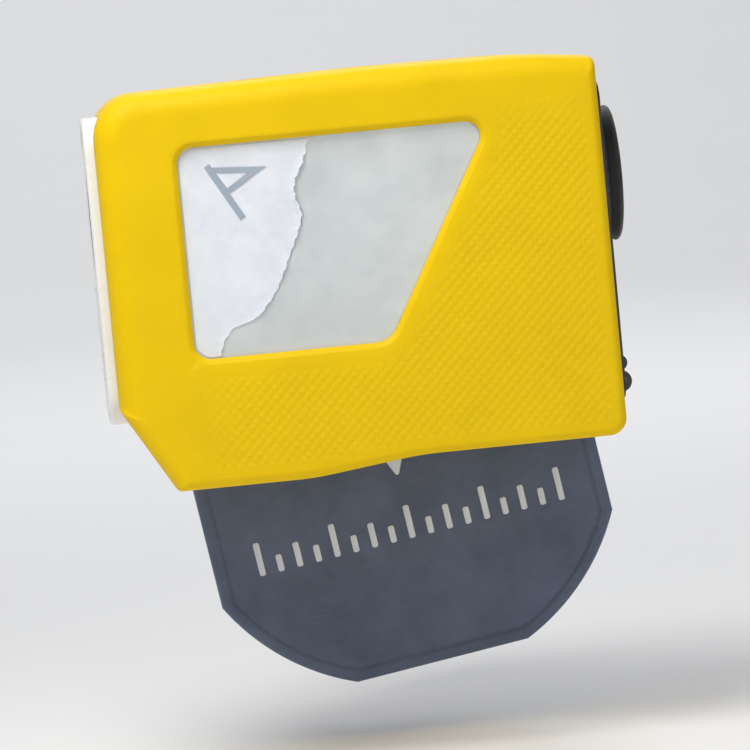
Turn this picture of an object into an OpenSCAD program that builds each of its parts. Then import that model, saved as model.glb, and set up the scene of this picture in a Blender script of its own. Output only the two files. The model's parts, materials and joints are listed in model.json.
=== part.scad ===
// Pocket golf distance finder in a silicone sleeve, held by magnet on a saddle for a golf bag's rim.
// Origin: the middle of the bag rim in the saddle. +X runs to the eyepiece end, +Y into the bag, +Z up.
// The hand unit is drawn about its own centre, and the saddle about the rim's axis.

/* [Hand unit] */
// Length of the sleeved unit, lens end to eyepiece end
unit_l = 100; // [98:1:104]
// Height of the sleeved unit at its tall end
unit_h = 80; // [80:1:84]
// Thickness of the sleeved unit
unit_t = 44; // [44:1:46]
// Wall of the silicone sleeve
sleeve_wall = 1.8; // [1.6:0.1:2]
// Radius round the edges of the sleeve's two sides
sleeve_edge_r = 4.5; // [4:0.5:5]
// Wall of the two plastic shells
shell_wall = 2; // [1.8:0.1:2.2]
// Height of the viewing axis above the unit's centre
sight_z = 14; // [13:0.5:15]
// Height of the laser's axis, below the unit's centre
laser_z = -13; // [-14:0.5:-12.5]
// Travel of the two keys
key_travel = 0.9; // [0.6:0.1:0.9]

/* [Side window] */
// Distance from the unit's centre to the window's upright edge
window_back = 34.2; // [32:0.2:35]
// Distance from the unit's centre to the window's top slanted corner
window_top = 28.2; // [26:0.2:29]
// Distance from the unit's centre to the window's bottom slanted corner
window_foot = 4.6; // [2:0.2:6]
// Window's upper edge above the unit's centre
window_high = 27.5; // [25:0.5:28]
// Window's lower edge below the unit's centre
window_low = 14.4; // [13:0.2:16]

/* [Saddle] */
// Diameter of the padded bag rim that the saddle grips
rim_d = 32; // [28:1:34]
// Width of the spring clip over the rim
clip_w = 40; // [34:1:44]
// Width of the round-bottomed pad
pad_w = 83.6; // [78:0.4:86]
// Radius of the pad's round bottom
pad_r = 47; // [46:0.5:50]
// Lean of the saddle against the hand unit, in degrees
saddle_lean = 8.5; // [0:0.5:10]
// Diameter of the magnet puck
puck_d = 28; // [26:1:29]

/* [Hidden] */
$fn = 64;

slack = 0.1;                    // gap between two fixed pieces
half_l = unit_l / 2;
half_h = unit_h / 2;
half_t = unit_t / 2;
shell_gap = sleeve_wall + slack;          // sleeve's outside to shell's outside
cavity_gap = shell_gap + shell_wall;      // sleeve's outside to shell's inside
shell_y = half_t - shell_gap;             // outer side of each shell
cavity_y = half_t - cavity_gap;           // inner side of each shell
shell_x = half_l - shell_gap;             // outer end of the shells
cavity_x = half_l - cavity_gap;           // inner end of the shells

// Saddle, measured from the rim's axis.
rim_r = rim_d / 2;
liner_t = 2;
clip_t = 3;
clip_in = rim_r + liner_t;
clip_out = clip_in + clip_t;
base_t = 2;
skin_t = 2.5;
pad_face_y = -(clip_out + base_t + skin_t);
pad_top = 14;
pad_mid = -31;                  // centre of the pad's round bottom
pad_drop = 43.3;                // pad's flat bottom below that centre
tongue_end = -46;
scale_z = pad_mid - 13.3;       // middle of the printed scale

// The puck, on the saddle and in the hand unit's own coordinates.
puck_z = -4;
puck_r = puck_d / 2;
air = 0.5;                      // between the pad and the sleeve
unit_x = -1.5;
unit_z = 10.9;
unit_y = pad_face_y - air - half_t;
puck_x = -puck_z * sin(saddle_lean) - unit_x;
puck_h = puck_z * cos(saddle_lean) - unit_z;
puck_front_y = pad_face_y - air - shell_gap + 0.3;
puck_back_y = pad_face_y + skin_t - 0.3;

// Outside faces of the two ends.
bezel_x = -(half_l + 2);
rear_x = half_l + 0.9;
hinge_x = half_l + 1;
hinge_z = -24;
hinge_r = 1.6;
pin_r = 0.6;

// Buttons, along the top.
fire_x = -8;
mode_x = 17;

// ---- Outlines ----

function unit_vector(v) = v / norm(v);

function flat(v) = [v[0], v[1]];

// Points of an arc of radius r that rounds the corner at p between a and b, about 10 degrees apart.
function corner(a, p, b, r) =
    let (u = unit_vector(a - p), v = unit_vector(b - p), half = acos(u * v) / 2,
         c = p + unit_vector(u + v) * r / sin(half), s = p + u * r / tan(half) - c,
         turn = cross(u, v) > 0 ? -(180 - 2 * half) : 180 - 2 * half,
         steps = max(2, round(abs(turn) / 10)))
    [for (i = [0:steps]) let (t = turn * i / steps)
        c + [s[0] * cos(t) - s[1] * sin(t), s[0] * sin(t) + s[1] * cos(t)]];

// A polygon's points from corners given as [x, z, radius].
function rounded(list) =
    let (n = len(list))
    [for (i = [0:n - 1])
        each corner(flat(list[(i + n - 1) % n]), flat(list[i]), flat(list[(i + 1) % n]), list[i][2])];

// The same corners, listed clockwise, after every side moves in by shrink. Arcs keep their centres.
function drawn_in(list, shrink) =
    let (n = len(list))
    [for (i = [0:n - 1])
        let (p = flat(list[i]), u = unit_vector(flat(list[(i + n - 1) % n]) - p),
             v = unit_vector(flat(list[(i + 1) % n]) - p), move = sign(cross(u, v)) * shrink,
             q = p + unit_vector(u + v) * move / sin(acos(u * v) / 2))
        [q[0], q[1], max(list[i][2] - move, 0.3)]];

function rectangle(x0, x1, z0, z1, r) = rounded([[x0, z0, r], [x1, z0, r], [x1, z1, r], [x0, z1, r]]);

// Side view of the sleeve, clockwise: crowned top, stepped bottom, cut lower corner at the lens end.
unit_corners = [
    [-half_l, half_h - 1.1, 9], [4, half_h, 300], [half_l - 14, half_h - 0.3, 100],
    [half_l, half_h - 1.9, 2], [half_l, 2.6 - half_h, 3.5], [9, 2.6 - half_h, 60],
    [-13, -half_h, 60], [10 - half_l, -half_h, 1.5], [-half_l, 17 - half_h, 3]];

function unit_outline(shrink) = rounded(drawn_in(unit_corners, shrink));

window_corners = [[-window_back, window_high, 3.4], [window_top, window_high, 3],
    [window_foot, -window_low, 5], [-window_back, -window_low, 3.2]];

function window_outline(grow) = rounded(drawn_in(window_corners, -grow));

// ---- Placing ----

module along_x(x0, x1) translate([x0, 0, 0]) rotate([90, 0, 90]) linear_extrude(x1 - x0) children();
module along_y(y0, y1) translate([0, y1, 0]) rotate([90, 0, 0]) linear_extrude(y1 - y0) children();
module along_z(z0, z1) translate([0, 0, z0]) linear_extrude(z1 - z0) children();
module rod_x(x0, x1, r, z = 0, y = 0) translate([0, y, z]) along_x(x0, x1) circle(r);
module rod_y(y0, y1, r, x = 0, z = 0) translate([x, 0, z]) along_y(y0, y1) circle(r);
module block(x, y, z) translate([x[0], y[0], z[0]]) cube([x[1] - x[0], y[1] - y[0], z[1] - z[0]]);
module on_unit() translate([unit_x, unit_y, unit_z]) children();
module on_saddle() rotate([0, -saddle_lean, 0]) children();

// The unit's solid form, smaller all round by inset. Its outline shrinks towards both sides, which
// rounds the long edges.
module form(inset) {
    r = max(sleeve_edge_r - inset, 0.6);
    flat_y = half_t - inset - r;
    layers = concat([for (a = [90:-15:0]) [-flat_y - r * sin(a), inset + r * (1 - cos(a))]],
        [for (a = [0:15:90]) [flat_y + r * sin(a), inset + r * (1 - cos(a))]]);
    n = len(unit_outline(0));
    last = len(layers) - 1;
    polyhedron(
        [for (layer = layers, p = unit_outline(layer[1])) [p[0], layer[0], p[1]]],
        concat([[for (i = [0:n - 1]) i], [for (i = [n - 1:-1:0]) last * n + i]],
            [for (k = [0:last - 1], i = [0:n - 1]) let (j = (i + 1) % n, a = k * n, b = a + n)
                each [[a + i, b + i, b + j], [a + i, b + j, a + j]]]));
}

// The hollow inside the two shells.
module hollow() along_y(-cavity_y, cavity_y) polygon(unit_outline(cavity_gap));

module stadium(length, width) {
    square([length - width, width], center = true);
    for (side = [-1, 1]) translate([side * (length - width) / 2, 0]) circle(width / 2);
}

// A lens: two spherical faces of radius r on a disc of the given rim radius and edge thickness.
module lens(x, rim, edge, r, z) {
    sag = r - sqrt(r * r - rim * rim);
    translate([x, 0, z]) rotate([0, 90, 0]) rotate_extrude()
        intersection() {
            translate([0, -edge / 2 - sag]) square([rim, edge + 2 * sag]);
            translate([0, edge / 2 + sag - r]) circle(r, $fn = 180);
            translate([0, r - edge / 2 - sag]) circle(r, $fn = 180);
        }
}

module tube_x(x0, x1, outer, inner, z) difference() {
    rod_x(x0, x1, outer, z);
    rod_x(x0 - 1, x1 + 1, inner, z);
}

// ---- Openings shared by the shells and what lies between them ----

boss_at = [[-41, 31], [41, 31], [41, -29], [-37, -31]];
boss_r = 3;
barrel_r = 13;
emitter_r = 6.5;
ocular_r = 11;
fire_size = [20, 12];
mode_r = 5;

module button_holes(grow) {
    translate([fire_x, 0, 0]) along_z(half_h - 9, half_h + 1)
        stadium(fire_size[0] + 2 * grow, fire_size[1] + 2 * grow);
    translate([mode_x, 0, 0]) along_z(half_h - 9, half_h + 1) circle(mode_r + grow);
}

module end_holes() {
    rod_x(-half_l, -half_l + 8, barrel_r + slack, sight_z);
    rod_x(-half_l, -half_l + 8, emitter_r + slack, laser_z);
    rod_x(half_l - 8, half_l, ocular_r + slack, sight_z);
    block([half_l - 8, half_l], [-4.9, 4.9], [-17, -12.6]);
}

// ---- Hand unit: sleeve and shells ----

front_hole = [14.5, 26.5, 35];   // half width, depth below and height above the centre
rear_hole = [17.4, 31.4, 33.4];

module front_shape(shrink) polygon(rectangle(shrink - front_hole[0], front_hole[0] - shrink,
    shrink - front_hole[1], front_hole[2] - shrink, 7));
module rear_shape(shrink) polygon(rectangle(shrink - rear_hole[0], rear_hole[0] - shrink,
    shrink - rear_hole[1], rear_hole[2] - shrink, 4));

module sleeve() color("gold") on_unit() difference() {
    form(0);
    form(sleeve_wall);
    along_y(-half_t - 1, 0) polygon(window_outline(0));
    rod_y(0, half_t + 1, puck_r + 0.6, puck_x, puck_h);
    along_x(-half_l - 1, 0) front_shape(0);
    along_x(0, half_l + 1) rear_shape(0);
    translate([(fire_x + mode_x) / 2 - 2.5, 0, 0]) along_z(half_h - 6, half_h + 2) stadium(46, 18);
}

// One shell: side is -1 for the half with the window plate and 1 for the half on the saddle.
module shell(side) difference() {
    union() {
        difference() {
            form(shell_gap);
            hollow();
        }
        for (p = boss_at) rod_y(-cavity_y - 0.5, cavity_y + 0.5, boss_r, p[0], p[1]);
    }
    block([-half_l, half_l], side > 0 ? [-half_t, 0.3] : [-0.3, half_t], [-half_h, half_h]);
    button_holes(0.3);
    end_holes();
}

module left_shell() color("whitesmoke") on_unit() difference() {
    shell(-1);
    for (p = boss_at) rod_y(-12, 0, 1.1, p[0], p[1]);
    along_y(-shell_y - 1, -shell_y + 0.9) polygon(window_outline(1.3));
}

module right_shell() color("whitesmoke") on_unit() difference() {
    shell(1);
    for (p = boss_at) {
        rod_y(0, half_t, 1.4, p[0], p[1]);
        rod_y(cavity_y - 0.4, half_t, 2.5, p[0], p[1]);
    }
    rod_y(shell_y - 1.3, half_t, puck_r + 1.1, puck_x, puck_h);
}

module shell_gasket() color("dimgray") on_unit() difference() {
    along_y(-0.25, 0.25) difference() {
        polygon(unit_outline(shell_gap + 0.4));
        polygon(unit_outline(cavity_gap - 0.4));
    }
    button_holes(0.9);
    end_holes();
}

module shell_screws() color("silver") on_unit() for (p = boss_at) difference() {
    union() {
        rod_y(-8, cavity_y - 0.3, 1, p[0], p[1]);
        rod_y(cavity_y - 0.3, cavity_y + 1.2, 2.2, p[0], p[1]);
    }
    translate([p[0], 0, p[1]]) along_y(cavity_y + 0.4, cavity_y + 2) circle(1.1, $fn = 6);
}

module side_plate() color("silver") on_unit()
    along_y(-shell_y, -shell_y + 0.8) polygon(window_outline(1.2));

// The clear film covers the plate's upright side and ends in a swept free edge.
film_edge = [[-7.7, window_high], [-9.4, 22.4], [-11.5, 18.3], [-10.3, 12.4], [-11.9, 8], [-14.7, 2],
    [-17.1, -2.6], [-19.1, -5], [-22.1, -7.5], [-25.6, -8.5], [-27.5, -10.3], [-29.4, -window_low]];

module protective_film() color("aliceblue") on_unit()
    along_y(-shell_y - 0.22, -shell_y - 0.04) intersection() {
        polygon(window_outline(-0.4));
        polygon(concat([[-window_back, window_high]], film_edge, [[-window_back, -window_low]]));
    }

// A leaning pin and its pennant, on the film.
module flag_emblem() color("slategray") on_unit() along_y(-shell_y - 0.34, -shell_y - 0.24) {
    polygon([[-28.9, 23.3], [-27.8, 23.9], [-21.6, 12.9], [-22.7, 12.3]]);
    difference() {
        polygon([[-28.1, 23.2], [-16.7, 22.4], [-24.9, 17.4]]);
        polygon([[-26.7, 22], [-20.3, 21.6], [-24.7, 18.8]]);
    }
}

module keeper_plate() color("lightgray") on_unit()
    rod_y(shell_y - 1.2, shell_y, puck_r + 1, puck_x, puck_h);

// ---- Hand unit: lens end ----

module front_bezel() color("white") on_unit() difference() {
    union() {
        along_x(bezel_x + 0.7, -half_l + 8) front_shape(slack);
        along_x(bezel_x, bezel_x + 0.7) front_shape(0.7);
    }
    form(shell_gap - 0.05);
    along_x(bezel_x - 1, bezel_x + 1) front_shape(2.6);
    rod_x(-half_l - 3, -half_l + 9, barrel_r + slack, sight_z);
    rod_x(-half_l - 3, -half_l + 9, emitter_r + slack, laser_z);
}

module lens_panel() color("black") on_unit() difference() {
    along_x(bezel_x + 0.25, bezel_x + 0.95) front_shape(2.7);
    rod_x(-half_l - 3, 0, barrel_r - 1.4, sight_z);
    rod_x(-half_l - 3, 0, emitter_r - 0.9, laser_z);
}

module objective_barrel() color("dimgray") on_unit() difference() {
    union() {
        rod_x(bezel_x + 1, -18, barrel_r, sight_z);
        rod_x(-cavity_x + slack, -cavity_x + 1.9, barrel_r + 1.4, sight_z);
    }
    rod_x(-half_l - 3, 0, barrel_r - 1.5, sight_z);
}

module objective_lens() color("lightblue") on_unit() lens(-half_l + 3.4, barrel_r - 1.55, 2, 46, sight_z);

module emitter_tube() color("dimgray") on_unit() difference() {
    union() {
        rod_x(bezel_x + 1, -24, emitter_r, laser_z);
        rod_x(2.2 - cavity_x, 3.7 - cavity_x, emitter_r + 1.2, laser_z);
    }
    rod_x(-half_l - 3, 0, emitter_r - 1, laser_z);
}

module emitter_lens() color("lightblue") on_unit() lens(-half_l + 2.6, emitter_r - 1.05, 1.4, 22, laser_z);

module laser_diode() color("goldenrod") on_unit() {
    rod_x(-23.9, -22.6, 4.5, laser_z);
    rod_x(-27.5, -23.9, 2.8, laser_z);
    for (a = [90, 210, 330]) rod_x(-22.6, -18, 0.3, laser_z + 1.3 * sin(a), 1.3 * cos(a));
}

// ---- Hand unit: optics behind the lens ----

module prism_block() color("lightcyan") on_unit() {
    along_y(-10, 10) translate([-16, sight_z - 11])
        polygon([[0, 0], [11.8, 0], [11.8, 22], [6, 22], [0, 16]]);
    along_y(-10, 10) translate([-16, sight_z - 11])
        polygon([[12, 0], [18, 0], [24, 6], [24, 22], [12, 22]]);
}

module light_receiver() color("silver") on_unit() translate([-5, 0, 0]) {
    along_z(sight_z + 11.1, sight_z + 12) circle(4.6);
    along_z(sight_z + 12, sight_z + 14.6) circle(4);
}

module display_module() color("black") on_unit() difference() {
    block([10.4, 12.4], [-10, 10], [sight_z - 10, sight_z + 10]);
    along_x(10, 11.2) translate([-7, sight_z - 7]) square(14);
}

module eyepiece_tube() color("dimgray") on_unit() difference() {
    union() {
        rod_x(14, half_l + 1.3, ocular_r, sight_z);
        rod_x(cavity_x - 2, cavity_x - slack, ocular_r + 2.5, sight_z);
    }
    rod_x(13, half_l + 3, ocular_r - 1.5, sight_z);
}

module eyepiece_lenses() color("lightblue") on_unit() {
    lens(19, ocular_r - 1.55, 2, 30, sight_z);
    lens(half_l - 2.6, ocular_r - 1.55, 2, 26, sight_z);
}

// ---- Hand unit: eyepiece end ----

ring_r = 14.3;
cover_w = 9;
cover_top = -8;
ear_x = half_l + 2.4;
ear_z = -28.6;
ear_r = 2.2;
strap_hole_r = 1.2;
ear_y = [3, 6];

module rear_bezel() color("#1c1c1e") on_unit() difference() {
    union() {
        along_x(shell_x + slack, rear_x - 0.6) rear_shape(slack);
        along_x(rear_x - 0.6, rear_x) rear_shape(0.7);
        hull() {
            rod_y(ear_y[0], ear_y[1], ear_r, ear_x, ear_z);
            block([half_l - 1, half_l], ear_y, [ear_z - 2.4, ear_z + ear_r]);
        }
        for (y = [-8.4, 5.4]) hull() {
            rod_y(y, y + 3, hinge_r, hinge_x, hinge_z);
            block([half_l - 1, half_l], [y, y + 3], [hinge_z - 1.6, hinge_z + 1.6]);
        }
    }
    rod_x(0, half_l + 9, ring_r + 0.3, sight_z);
    block([half_l - 0.9, half_l + 3], [-cover_w - 0.3, cover_w + 0.3],
        [hinge_z + hinge_r + 0.3, cover_top + 0.5]);
    block([half_l - 0.9, half_l + 3], [-5.2, 5.2], [hinge_z - 0.2, cover_top]);
    rod_y(-5.2, 5.2, hinge_r + 0.3, hinge_x, hinge_z);
    rod_y(-20, 20, pin_r + 0.02, hinge_x, hinge_z);
    block([0, half_l + 3], [-4.9, 4.9], [-17, -12.6]);
    rod_y(ear_y[0] - 1, ear_y[1] + 1, strap_hole_r, ear_x, ear_z);
}

// Small board that carries the socket.
module port_board() color("darkgreen") on_unit() block([36, 46], [-8, 8], [-18.2, -17]);

module port_pin() color("silver") on_unit() rod_y(-8.3, 8.3, pin_r, hinge_x, hinge_z);

module port_cover() color("#242426") on_unit() difference() {
    union() {
        block([half_l - 0.6, rear_x], [-cover_w, cover_w], [hinge_z + hinge_r + 0.6, cover_top]);
        block([half_l - 0.6, hinge_x], [-4.9, 4.9], [hinge_z, hinge_z + hinge_r + 0.7]);
        rod_y(-4.9, 4.9, hinge_r, hinge_x, hinge_z);
        rod_y(-3.5, 3.5, 0.7, rear_x, cover_top - 1);
    }
    rod_y(-9, 9, pin_r + 0.05, hinge_x, hinge_z);
}

// Plug seal on the cover's inner face, in the mouth of the socket.
module port_seal() color("gray") on_unit()
    along_x(half_l - 2, half_l - 0.65) translate([0, -15]) difference() {
        stadium(8.4, 3);
        stadium(6.4, 1.2);
    }

module usb_socket() color("silver") on_unit() difference() {
    translate([0, 0, -15]) along_x(37.5, cavity_x + 1.2) stadium(9, 3.3);
    translate([0, 0, -15]) along_x(39, half_l) stadium(8.2, 2.5);
}

module dioptre_ring() color("#262628") on_unit() difference() {
    rod_x(shell_x + 0.4, half_l + 1.8, ring_r, sight_z);
    rod_x(0, half_l + 9, ocular_r + 0.05, sight_z);
    for (a = [0:12:359]) translate([0, ring_r * cos(a), sight_z + ring_r * sin(a)])
        rod_x(half_l + 0.2, half_l + 3, 0.35, $fn = 16);
}

module eyecup() color("#141414") on_unit() translate([0, 0, sight_z]) rotate([0, 90, 0]) rotate_extrude()
    polygon(concat(
        [[ocular_r - 0.6, half_l + 1.9], [ring_r - 0.6, half_l + 1.9]],
        [for (a = [0:15:180]) [12.2 + 1.5 * cos(a), half_l + 3.4 + 1.1 * sin(a)]],
        [[ocular_r - 1.2, half_l + 2.7]]));

// ---- Hand unit: keys and electronics ----

key_foot = half_h - 5.9;

module fire_button() color("#e8e8e8") on_unit() translate([fire_x, 0, 0]) difference() {
    union() {
        along_z(half_h - 5, half_h - 1.2) stadium(fire_size[0], fire_size[1]);
        along_z(half_h - 1.2, half_h - 0.7) stadium(fire_size[0] - 1, fire_size[1] - 1);
        along_z(key_foot, half_h - 4.8) stadium(fire_size[0] + 2.4, fire_size[1] + 2.4);
    }
    for (i = [-2:2]) block([i * 2.6 - 0.4, i * 2.6 + 0.4], [-3.6, 3.6], [half_h - 1, half_h]);
}

module mode_button() color("#1c1c1e") on_unit() translate([mode_x, 0, 0]) difference() {
    union() {
        along_z(half_h - 5.2, half_h - 1.2) circle(mode_r);
        along_z(key_foot, half_h - 5.1) circle(mode_r + 1.2);
    }
    translate([0, 0, half_h + 11.6]) sphere(13, $fn = 96);
}

module key_board() color("darkgreen") on_unit() block([-37.4, mode_x + 10], [-8, 8], [29.6, 30.8]);

module tact_switches() color("dimgray") on_unit() for (x = [fire_x, mode_x]) translate([x, 0, 0]) {
    block([-2.6, 2.6], [-2.6, 2.6], [30.8, 32.3]);
    along_z(32.3, key_foot - key_travel - 0.2) circle(1.6);
}

module gps_antenna() color("tan") on_unit() {
    block([-37, -21], [-8, 8], [30.8, 33.8]);
    block([-35, -23], [-6, 6], [33.8, 34]);
}

module main_board() color("darkgreen") on_unit() along_y(13.5, 14.7)
    polygon(rectangle(-33, 37, -30, 28, 2));

module board_chips() color("#222222") on_unit() {
    for (c = [[-20, 10, 9], [0, 12, 12], [20, 8, 7], [-14, -16, 6], [24, -14, 8]])
        block([c[0] - c[2] / 2, c[0] + c[2] / 2], [14.7, 15.9], [c[1] - c[2] / 2, c[1] + c[2] / 2]);
}

module battery_pack() color("lightsteelblue") on_unit() along_y(-16.5, -8.5)
    polygon(rectangle(-17, 31, -31.5, -6.5, 2));

module beeper() color("#1a1a1a") on_unit() difference() {
    rod_y(10.3, 13.4, 6, 8, -20);
    rod_y(10, 11, 1.2, 8, -20);
}

// ---- Saddle ----

function pad_outline(shrink) =
    let (side = pad_w / 2 - shrink, r = pad_r - shrink, low = pad_drop - shrink,
         a0 = asin(low / r), a1 = acos(side / r), n = 14)
    concat(
        [for (i = [0:n]) let (a = -(a0 + (a1 - a0) * i / n)) [r * cos(a), pad_mid + r * sin(a)]],
        corner([side, pad_mid], [side, pad_top - shrink], [-side, pad_top - shrink], 12),
        corner([side, pad_top - shrink], [-side, pad_top - shrink], [-side, pad_mid], 12),
        [for (i = [n:-1:0]) let (a = -(a0 + (a1 - a0) * i / n)) [-r * cos(a), pad_mid + r * sin(a)]]);

module face_pad() color("#4d5361") on_saddle() difference() {
    along_y(pad_face_y, -clip_out - 0.05) polygon(pad_outline(0));
    along_y(pad_face_y + skin_t - 0.05, 0) polygon(pad_outline(2));
    rod_y(pad_face_y - 1, 0, puck_r + 0.35, 0, puck_z);
}

module pad_base() color("#202024") on_saddle() difference() {
    along_y(-clip_out - base_t, -clip_out - 0.05) polygon(pad_outline(2.1));
    rod_y(-clip_out - 9, 0, 3.05, 0, puck_z);
    for (p = clip_screw_at) rod_y(-clip_out - 1.3, 0, 1.25, p[0], p[1]);
}

clip_screw_at = [[-14, -4], [14, -4], [-14, -34], [14, -34]];

// Row of distance ticks under a pointer, printed on the pad.
module printed_scale() color("lightgray") on_saddle() along_y(pad_face_y - 0.15, pad_face_y) {
    for (i = [-8:8]) let (tall = i % 4 == 0 ? 7 : i % 2 == 0 ? 5.2 : 3.6)
        translate([i * 4 - 0.65, scale_z - 3.5]) square([1.3, tall]);
    translate([0, scale_z + 9.3]) polygon([[0, 0], [3.5, 8], [-3.5, 8]]);
}

// Spring clip: front plate, arch over the rim and rear tongue with a flared end.
module clip_profile() {
    difference() {
        circle(clip_out);
        circle(clip_in);
        translate([-50, -100]) square(100);
    }
    translate([-clip_out, -42]) square([clip_t, 42]);
    translate([clip_in, tongue_end + 6]) square([clip_t, -tongue_end - 6]);
    translate([clip_out + 4, tongue_end + 6]) difference() {
        circle(7);
        circle(4);
        translate([-10, 0]) square(20);
        translate([0, -10]) square(20);
    }
}

module rim_clip() color("#1f1f21") on_saddle() difference() {
    along_x(-clip_w / 2, clip_w / 2) clip_profile();
    rod_y(-clip_out - 1, -10, 3.05, 0, puck_z);
    rod_y(-clip_in - 1, -10, 3.85, 0, puck_z);
    for (p = clip_screw_at) {
        rod_y(-clip_out - 1, -10, 1.4, p[0], p[1]);
        rod_y(-clip_in - 1, -10, 2.5, p[0], p[1]);
    }
}

module rim_liner() color("#35353a") on_saddle() along_x(-clip_w / 2 + 1, clip_w / 2 - 1) {
    difference() {
        circle(clip_in - 0.05);
        circle(rim_r);
        translate([-50, -100]) square(100);
    }
    for (x = [-clip_in + 0.05, rim_r]) translate([x, -12]) square([liner_t - 0.05, 12]);
}

module tongue_grip() color("#35353a") on_saddle() along_x(-14, 14) {
    translate([rim_r + 0.9, -39]) square([liner_t - 0.95, 25]);
    for (i = [0:4]) translate([rim_r + 0.9, -36.5 + 5 * i]) circle(0.7, $fn = 24);
}

module clip_screws() color("silver") on_saddle() for (p = clip_screw_at) difference() {
    union() {
        rod_y(-clip_out - 1.2, -clip_in - 0.8, 1.2, p[0], p[1]);
        rod_y(-clip_in - 0.9, -clip_in - 0.1, 2.4, p[0], p[1]);
    }
    translate([p[0], 0, p[1]]) along_y(-clip_in - 0.6, -clip_in + 1) circle(1, $fn = 6);
}

// Rivet on which the puck turns: shank through pad and clip, head inside the puck.
module puck_pivot() color("lightgray") on_saddle() {
    rod_y(puck_front_y + 0.7, puck_back_y - 1.1, 4.6, 0, puck_z);
    rod_y(puck_back_y - 1.2, -clip_in - 0.8, 3, 0, puck_z);
    rod_y(-clip_in - 0.9, -clip_in - 0.2, 3.7, 0, puck_z);
}

module puck_cup() color("#2a2a2d") on_saddle() difference() {
    rod_y(puck_front_y + 0.6, puck_back_y, puck_r, 0, puck_z);
    rod_y(puck_front_y - 1, puck_back_y - 1, puck_r - 1, 0, puck_z);
    rod_y(puck_front_y - 1, puck_back_y + 1, 3.06, 0, puck_z);
}

module puck_magnet() color("silver") on_saddle() difference() {
    rod_y(puck_front_y + 0.7, puck_back_y - 1.05, puck_r - 1.1, 0, puck_z);
    rod_y(puck_front_y, puck_back_y, 5.2, 0, puck_z);
}

module puck_face() color("#17171a") on_saddle() difference() {
    rod_y(puck_front_y, puck_front_y + 0.55, puck_r, 0, puck_z);
    for (r = [6, 9, 12]) face_groove(r);
}

module face_groove(r) translate([0, puck_front_y - 0.01, puck_z]) along_y(0, 0.2) difference() {
    circle(r + 0.4);
    circle(r - 0.4);
}

// ---- Nodes ----

sleeve();
left_shell();
right_shell();
shell_gasket();
shell_screws();
side_plate();
protective_film();
flag_emblem();
keeper_plate();
front_bezel();
lens_panel();
objective_barrel();
objective_lens();
emitter_tube();
emitter_lens();
laser_diode();
prism_block();
light_receiver();
display_module();
eyepiece_tube();
eyepiece_lenses();
rear_bezel();
main_board();
board_chips();
key_board();
tact_switches();
gps_antenna();
battery_pack();
beeper();
usb_socket();
port_board();
port_pin();
dioptre_ring();
eyecup();
fire_button();
mode_button();
port_cover();
port_seal();
rim_clip();
rim_liner();
tongue_grip();
pad_base();
face_pad();
printed_scale();
clip_screws();
puck_pivot();
puck_cup();
puck_magnet();
puck_face();
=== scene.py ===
"""Looks of a golf distance finder in a silicone sleeve, held by a magnet on a bag-rim saddle.

Shapes are drawn in millimetres, in the hand unit's own frame or the saddle's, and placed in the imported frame.
"""

import json
import math

import bmesh
import bpy
import numpy as np
from mathutils import Matrix, Vector


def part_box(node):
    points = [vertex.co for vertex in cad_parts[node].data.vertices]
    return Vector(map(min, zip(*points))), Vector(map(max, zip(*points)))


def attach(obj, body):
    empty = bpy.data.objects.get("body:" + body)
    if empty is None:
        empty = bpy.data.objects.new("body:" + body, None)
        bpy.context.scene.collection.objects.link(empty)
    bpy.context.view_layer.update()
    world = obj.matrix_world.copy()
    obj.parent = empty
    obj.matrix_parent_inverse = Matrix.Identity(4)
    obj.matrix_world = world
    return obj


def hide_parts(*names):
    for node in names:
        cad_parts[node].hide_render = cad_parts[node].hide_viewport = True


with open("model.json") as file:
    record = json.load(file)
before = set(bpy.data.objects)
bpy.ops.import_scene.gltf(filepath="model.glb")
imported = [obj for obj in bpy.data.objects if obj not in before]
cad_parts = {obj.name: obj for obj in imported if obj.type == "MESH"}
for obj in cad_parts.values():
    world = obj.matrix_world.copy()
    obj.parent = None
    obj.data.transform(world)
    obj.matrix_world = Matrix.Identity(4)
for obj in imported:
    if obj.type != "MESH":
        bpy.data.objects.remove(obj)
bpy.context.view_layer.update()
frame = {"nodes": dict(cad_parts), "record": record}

MM = 0.001


def box_mm(node):
    """Lowest and highest corner of a CAD node, in millimetres."""
    low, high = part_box(node)
    return np.array(low) / MM, np.array(high) / MM


# ---- The two frames ----

mounts = {m["name"]: m for m in frame["record"]["mounts"]}
rim_axis = mounts["rim_saddle"]["axis"]
RIM_R = mounts["rim_saddle"]["dims"]["r_mm"]
LEAN = math.atan2(rim_axis[2], rim_axis[0])

sleeve_low, sleeve_high = box_mm("sleeve")
UNIT_L, UNIT_T, UNIT_H = (float(v) for v in sleeve_high - sleeve_low)
UNIT_CENTRE = (sleeve_low + sleeve_high) / 2
UNIT = Matrix.Translation(Vector(UNIT_CENTRE * MM)) @ Matrix.Scale(MM, 4)
SADDLE = Matrix.Rotation(-LEAN, 4, "Y") @ Matrix.Scale(MM, 4)

HALF_L, HALF_T, HALF_H = UNIT_L / 2, UNIT_T / 2, UNIT_H / 2


def in_unit(node):
    """A node's corners in the hand unit's frame, in millimetres."""
    low, high = box_mm(node)
    return low - UNIT_CENTRE, high - UNIT_CENTRE


SIGHT_Z = float(np.mean([corner[2] for corner in in_unit("objective_lens")]))
LASER_Z = float(np.mean([corner[2] for corner in in_unit("emitter_lens")]))
PUCK_X, _, PUCK_H = (float(v) for v in np.mean(in_unit("keeper_plate"), axis=0))
PUCK_Z = -4.0
PUCK_R = (box_mm("puck_cup")[1][0] - box_mm("puck_cup")[0][0]) / 2
PAD_FACE = float(box_mm("face_pad")[0][1])


# ---- Outlines: arrays of points in a plane ----

ARC_STEP = 7.5


def unit_vector(v):
    return v / np.linalg.norm(v)


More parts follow.
